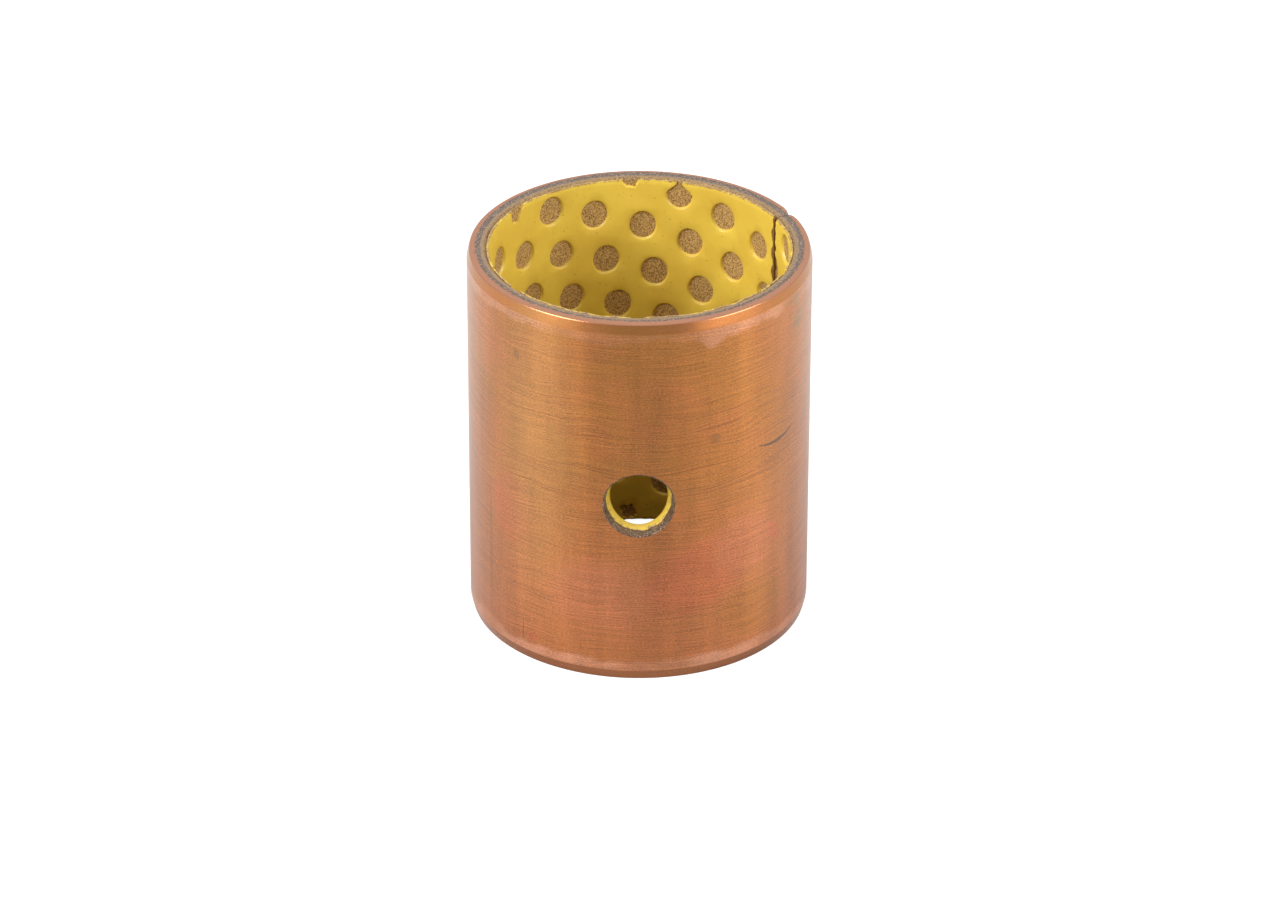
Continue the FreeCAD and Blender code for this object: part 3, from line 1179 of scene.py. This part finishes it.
steel = {
    "cornerRound": 0.11,
    "leadInRound": 0.14,
    "longBevel": (1.6, 0.4),  # width and depth, on the strip end past the joint
    "shortBevel": (0.5, 0.2),
    "rubbedWidth": 0.4,  # of a bevel's edge at the joint
    "rubbedShare": 0.55,
    "waviness": 0.006,
    "waveSize": 5.0,
    "belowSolid": 0.008,
    "webStep": 0.95,
    "web": {"outline": 0.3, "end": 1.9, "hole": 1.25, "inset": 0, "indents": (-1.0, 10.0)},
    "holeScales": (1.0, 1.004, 1.012, 1.024, 1.04, 1.06, 1.1, 1.17),
    "rows": (0.004, 0.016, 0.036, 0.065, 0.11, 0.16, 0.5, 0.85, 0.95, 1.05, 1.15, 1.25, 1.6),  # from an end
    "rowStep": 0.7,
    "bevelLines": (0.25, 0.5, 0.75, 1.0, 1.25, 1.5),  # from the joint
    "bevelStep": 0.8,
    "wallShares": (0.25, 0.5, 0.72, 0.86, 0.95),
}


# Height lost by the outside at a place: lead-in, corner, joint bevels and the oil hole's edge
def steelDrop(u, v):
    end = fromEnd(v)
    drop = softRamp(ring["leadIn"] - end, steel["leadInRound"]) * math.tan(ring["leadInAngle"])
    rounding = steel["cornerRound"]
    if end < rounding:
        drop += rounding - math.sqrt(max(0.0, rounding ** 2 - (rounding - end) ** 2))
    spread = ring["boreRadius"] / ring["outsideRadius"]
    for away, (width, depth) in ((u, steel["longBevel"]), (stripLength - u, steel["shortBevel"])):
        part = 1 - away / (width * spread)
        if part > 0:
            rubbed = steel["rubbedShare"] * max(0.0, 1 - away / steel["rubbedWidth"]) ** 2
            drop += depth * (part * (0.6 + 0.4 * part) + rubbed)
    mouth = (holeScale(u, v) - 1) * oilHole["halfWidth"] / oilHole["edgeBreak"]
    if mouth < 1:
        drop += oilHole["edgeBreak"] * (1 - math.sqrt(max(0.0, 1 - (1 - max(0.0, mouth)) ** 2)))
    return drop


def steelOuter(u, v):
    wave = steel["waviness"] * (uneven(u, v, steel["waveSize"], 31) - 1) - steel["belowSolid"]
    return u, v, ring["wall"] - steelDrop(u, v) + wave


def steelPlating(u, v, share):
    plated = 1.0 if share > 0.99 or fromEnd(v) < 0.01 else 0.0
    mouth = smooth((holeScale(u, v) - 1.012) / 0.05)
    joint = smooth((min(u, stripLength - u) - 0.05) / 0.2)
    return plated * mouth * max(joint, 0.2)


def buildSteel():
    outline, inside, kept = metalOutline()
    loops = [holeLoop(scale) for scale in steel["holeScales"]]
    spots = webSpots(steel["webStep"], clearOf(inside, steel["web"]))
    for away in steel["bevelLines"]:
        heights = spaced(2, ringLength - 2, steel["bevelStep"])
        spots += [(u, v) for v in heights for u in (away, stripLength - away)]
    sheet = cutSheet(outline, loops, rowsAt(steel["rows"], steel["rowStep"]), spots, kept)
    front, marks = flatSkin(ring["bronzeBack"]), {"plating": steelPlating, "grain": noGrain}
    mesh = layerMesh("steelBacking", sheet, front, steelOuter, steel["wallShares"], straightWall, marks)
    finishLayer("steelBacking", mesh, "steel_backing", copperMaterial())


buildLining()
buildBronze()
buildSteel()

# Floor, light and camera

white = (1.0, 1.0, 1.0, 1.0)
floorPlan = {
    "half": 1.5,
    "tone": 0.40,
    "roughness": 0.9,
    "specular": 0.1,
    "sides": (-0.95, -0.3),  # from straight in front of the ring to its sides
    "reach": (16.0, 60.0),  # from the ring, in millimetres, with growing shine
    "glow": 0.75,  # to the camera
    "shine": 0.32,  # in reflections
}


def floorMaterial():
    material, tree, shader = newMaterial("paleFloor")
    place = makeNode(tree, "ShaderNodeTexCoord").outputs["Object"]
    reach = lengthOf(place)
    away = calc("DIVIDE", reach, mm)
    under = stepped(away, ring["boreRadius"] + 1.5, ring["boreRadius"] - 0.5)
    shade = timesPlus(noiseAt(place, 3.0, 2.0), 0.01, floorPlan["tone"])
    # Under the ring the floor is nearly black to the light, a dark sheet that deepens the shade inside the
    # bore; the camera still sees it white
    shade = times(shade, timesPlus(under, -0.9, 1.0))
    # White to the camera; in reflections white at the sides, dark in front of the ring and under it
    facing = calc("DIVIDE", split(place)[1], calc("MAXIMUM", reach, mm))
    shine = times(stepped(facing, *floorPlan["sides"]), floorPlan["shine"])
    shine = times(shine, timesPlus(stepped(away, *floorPlan["reach"]), 0.55, 0.45))
    ray = makeNode(tree, "ShaderNodeLightPath").outputs
    mirrored = times(ray["Is Glossy Ray"], times(shine, minus(1.0, under)))
    seen = timesPlus(under, 1.0 - floorPlan["glow"], floorPlan["glow"])
    wire(tree, shader, {
        "Base Color": joined(shade, shade, shade),
        "Roughness": floorPlan["roughness"],
        "Specular IOR Level": floorPlan["specular"],
        "Emission Color": white,
        "Emission Strength": timesPlus(ray["Is Camera Ray"], seen, mirrored),
    })
    return material


floorMesh = bpy.data.meshes.new("floor")
half = floorPlan["half"]
corners = [(-half, -half, 0), (half, -half, 0), (half, half, 0), (-half, half, 0)]
floorMesh.from_pydata(corners, [], [(0, 1, 2, 3)])
floorPiece = addObject("floor", floorMesh)
floorMesh.materials.append(floorMaterial())
print("floor laid")

# A white tent, a little brighter overhead, that is open and dim towards the camera's side of the studio
studio = {
    "bright": 0.95,
    "dark": 0.42,
    "above": 1.0,
    "gap": (0.5, 0.93),  # from its sides to its middle
    "overhead": (0.4, 0.8),
}
world = bpy.data.worlds.new("studio")
world.use_nodes = True
bpy.context.scene.world = world
tent = world.node_tree
behind, height = split(makeNode(tent, "ShaderNodeTexCoord").outputs["Generated"])[1:]
level = calc("SQRT", minus(1.0, times(height, height)))
facing = calc("DIVIDE", times(behind, -1.0), calc("MAXIMUM", level, 0.01))
overhead = stepped(height, *studio["overhead"])
gap = times(stepped(facing, *studio["gap"]), minus(1.0, overhead))
bright = studio["bright"]
glow = summed(bright, (gap, studio["dark"] - bright), (overhead, studio["above"] - bright))
wire(tent, tent.nodes["Background"], {"Color": white, "Strength": glow})

lamps = [
    {"name": "keyLamp", "turn": -60, "lift": 34, "away": 0.8, "size": 0.4, "power": 5.7},
    {"name": "fillLamp", "turn": 68, "lift": 28, "away": 0.8, "size": 0.4, "power": 3.5},
    {"name": "sideLamp", "turn": 46, "lift": 9, "away": 0.75, "size": 0.26, "power": 0.2},
]
target = Vector((0, 0, ringLength * mm / 2))
for plan in lamps:
    lamp = bpy.data.lights.new(plan["name"], "AREA")
    lamp.shape = "SQUARE"
    lamp.size = plan["size"]
    lamp.energy = plan["power"]
    holder = addObject(plan["name"], lamp)
    turn, lift = math.radians(plan["turn"]), math.radians(plan["lift"])
    toLamp = Vector((math.sin(turn) * math.cos(lift), -math.cos(turn) * math.cos(lift), math.sin(lift)))
    holder.location = target + toLamp * plan["away"]
    holder.rotation_euler = (target - holder.location).to_track_quat("-Z", "Y").to_euler()
bpy.context.scene.view_settings.view_transform = "Standard"
print("lamps", len(lamps))

view = {
    "pitch": math.radians(29.02),
    "roll": math.radians(0.1755),
    "lens": 160.53,
    "distance": 577.34,  # from the ring's middle, in millimetres as the next two
    "drop": 2.813,
    "side": -0.093,
}
forward = Vector((0, math.cos(view["pitch"]), -math.sin(view["pitch"])))
levelUp = Vector((0, math.sin(view["pitch"]), math.cos(view["pitch"])))
levelRight = Vector((1, 0, 0))
right = levelRight * math.cos(view["roll"]) + levelUp * math.sin(view["roll"])
up = levelUp * math.cos(view["roll"]) - levelRight * math.sin(view["roll"])
eye = target - (forward * view["distance"] + up * view["drop"] + right * view["side"]) * mm
cameraData = bpy.data.cameras.new("camera")
cameraData.sensor_fit = "HORIZONTAL"
cameraData.sensor_width = 36
cameraData.lens = view["lens"]
cameraData.clip_start = 0.01
camera = addObject("camera", cameraData)
camera.matrix_world = Matrix((right, up, -forward)).transposed().to_4x4()
camera.location = eye
bpy.context.scene.camera = camera
print("camera set")
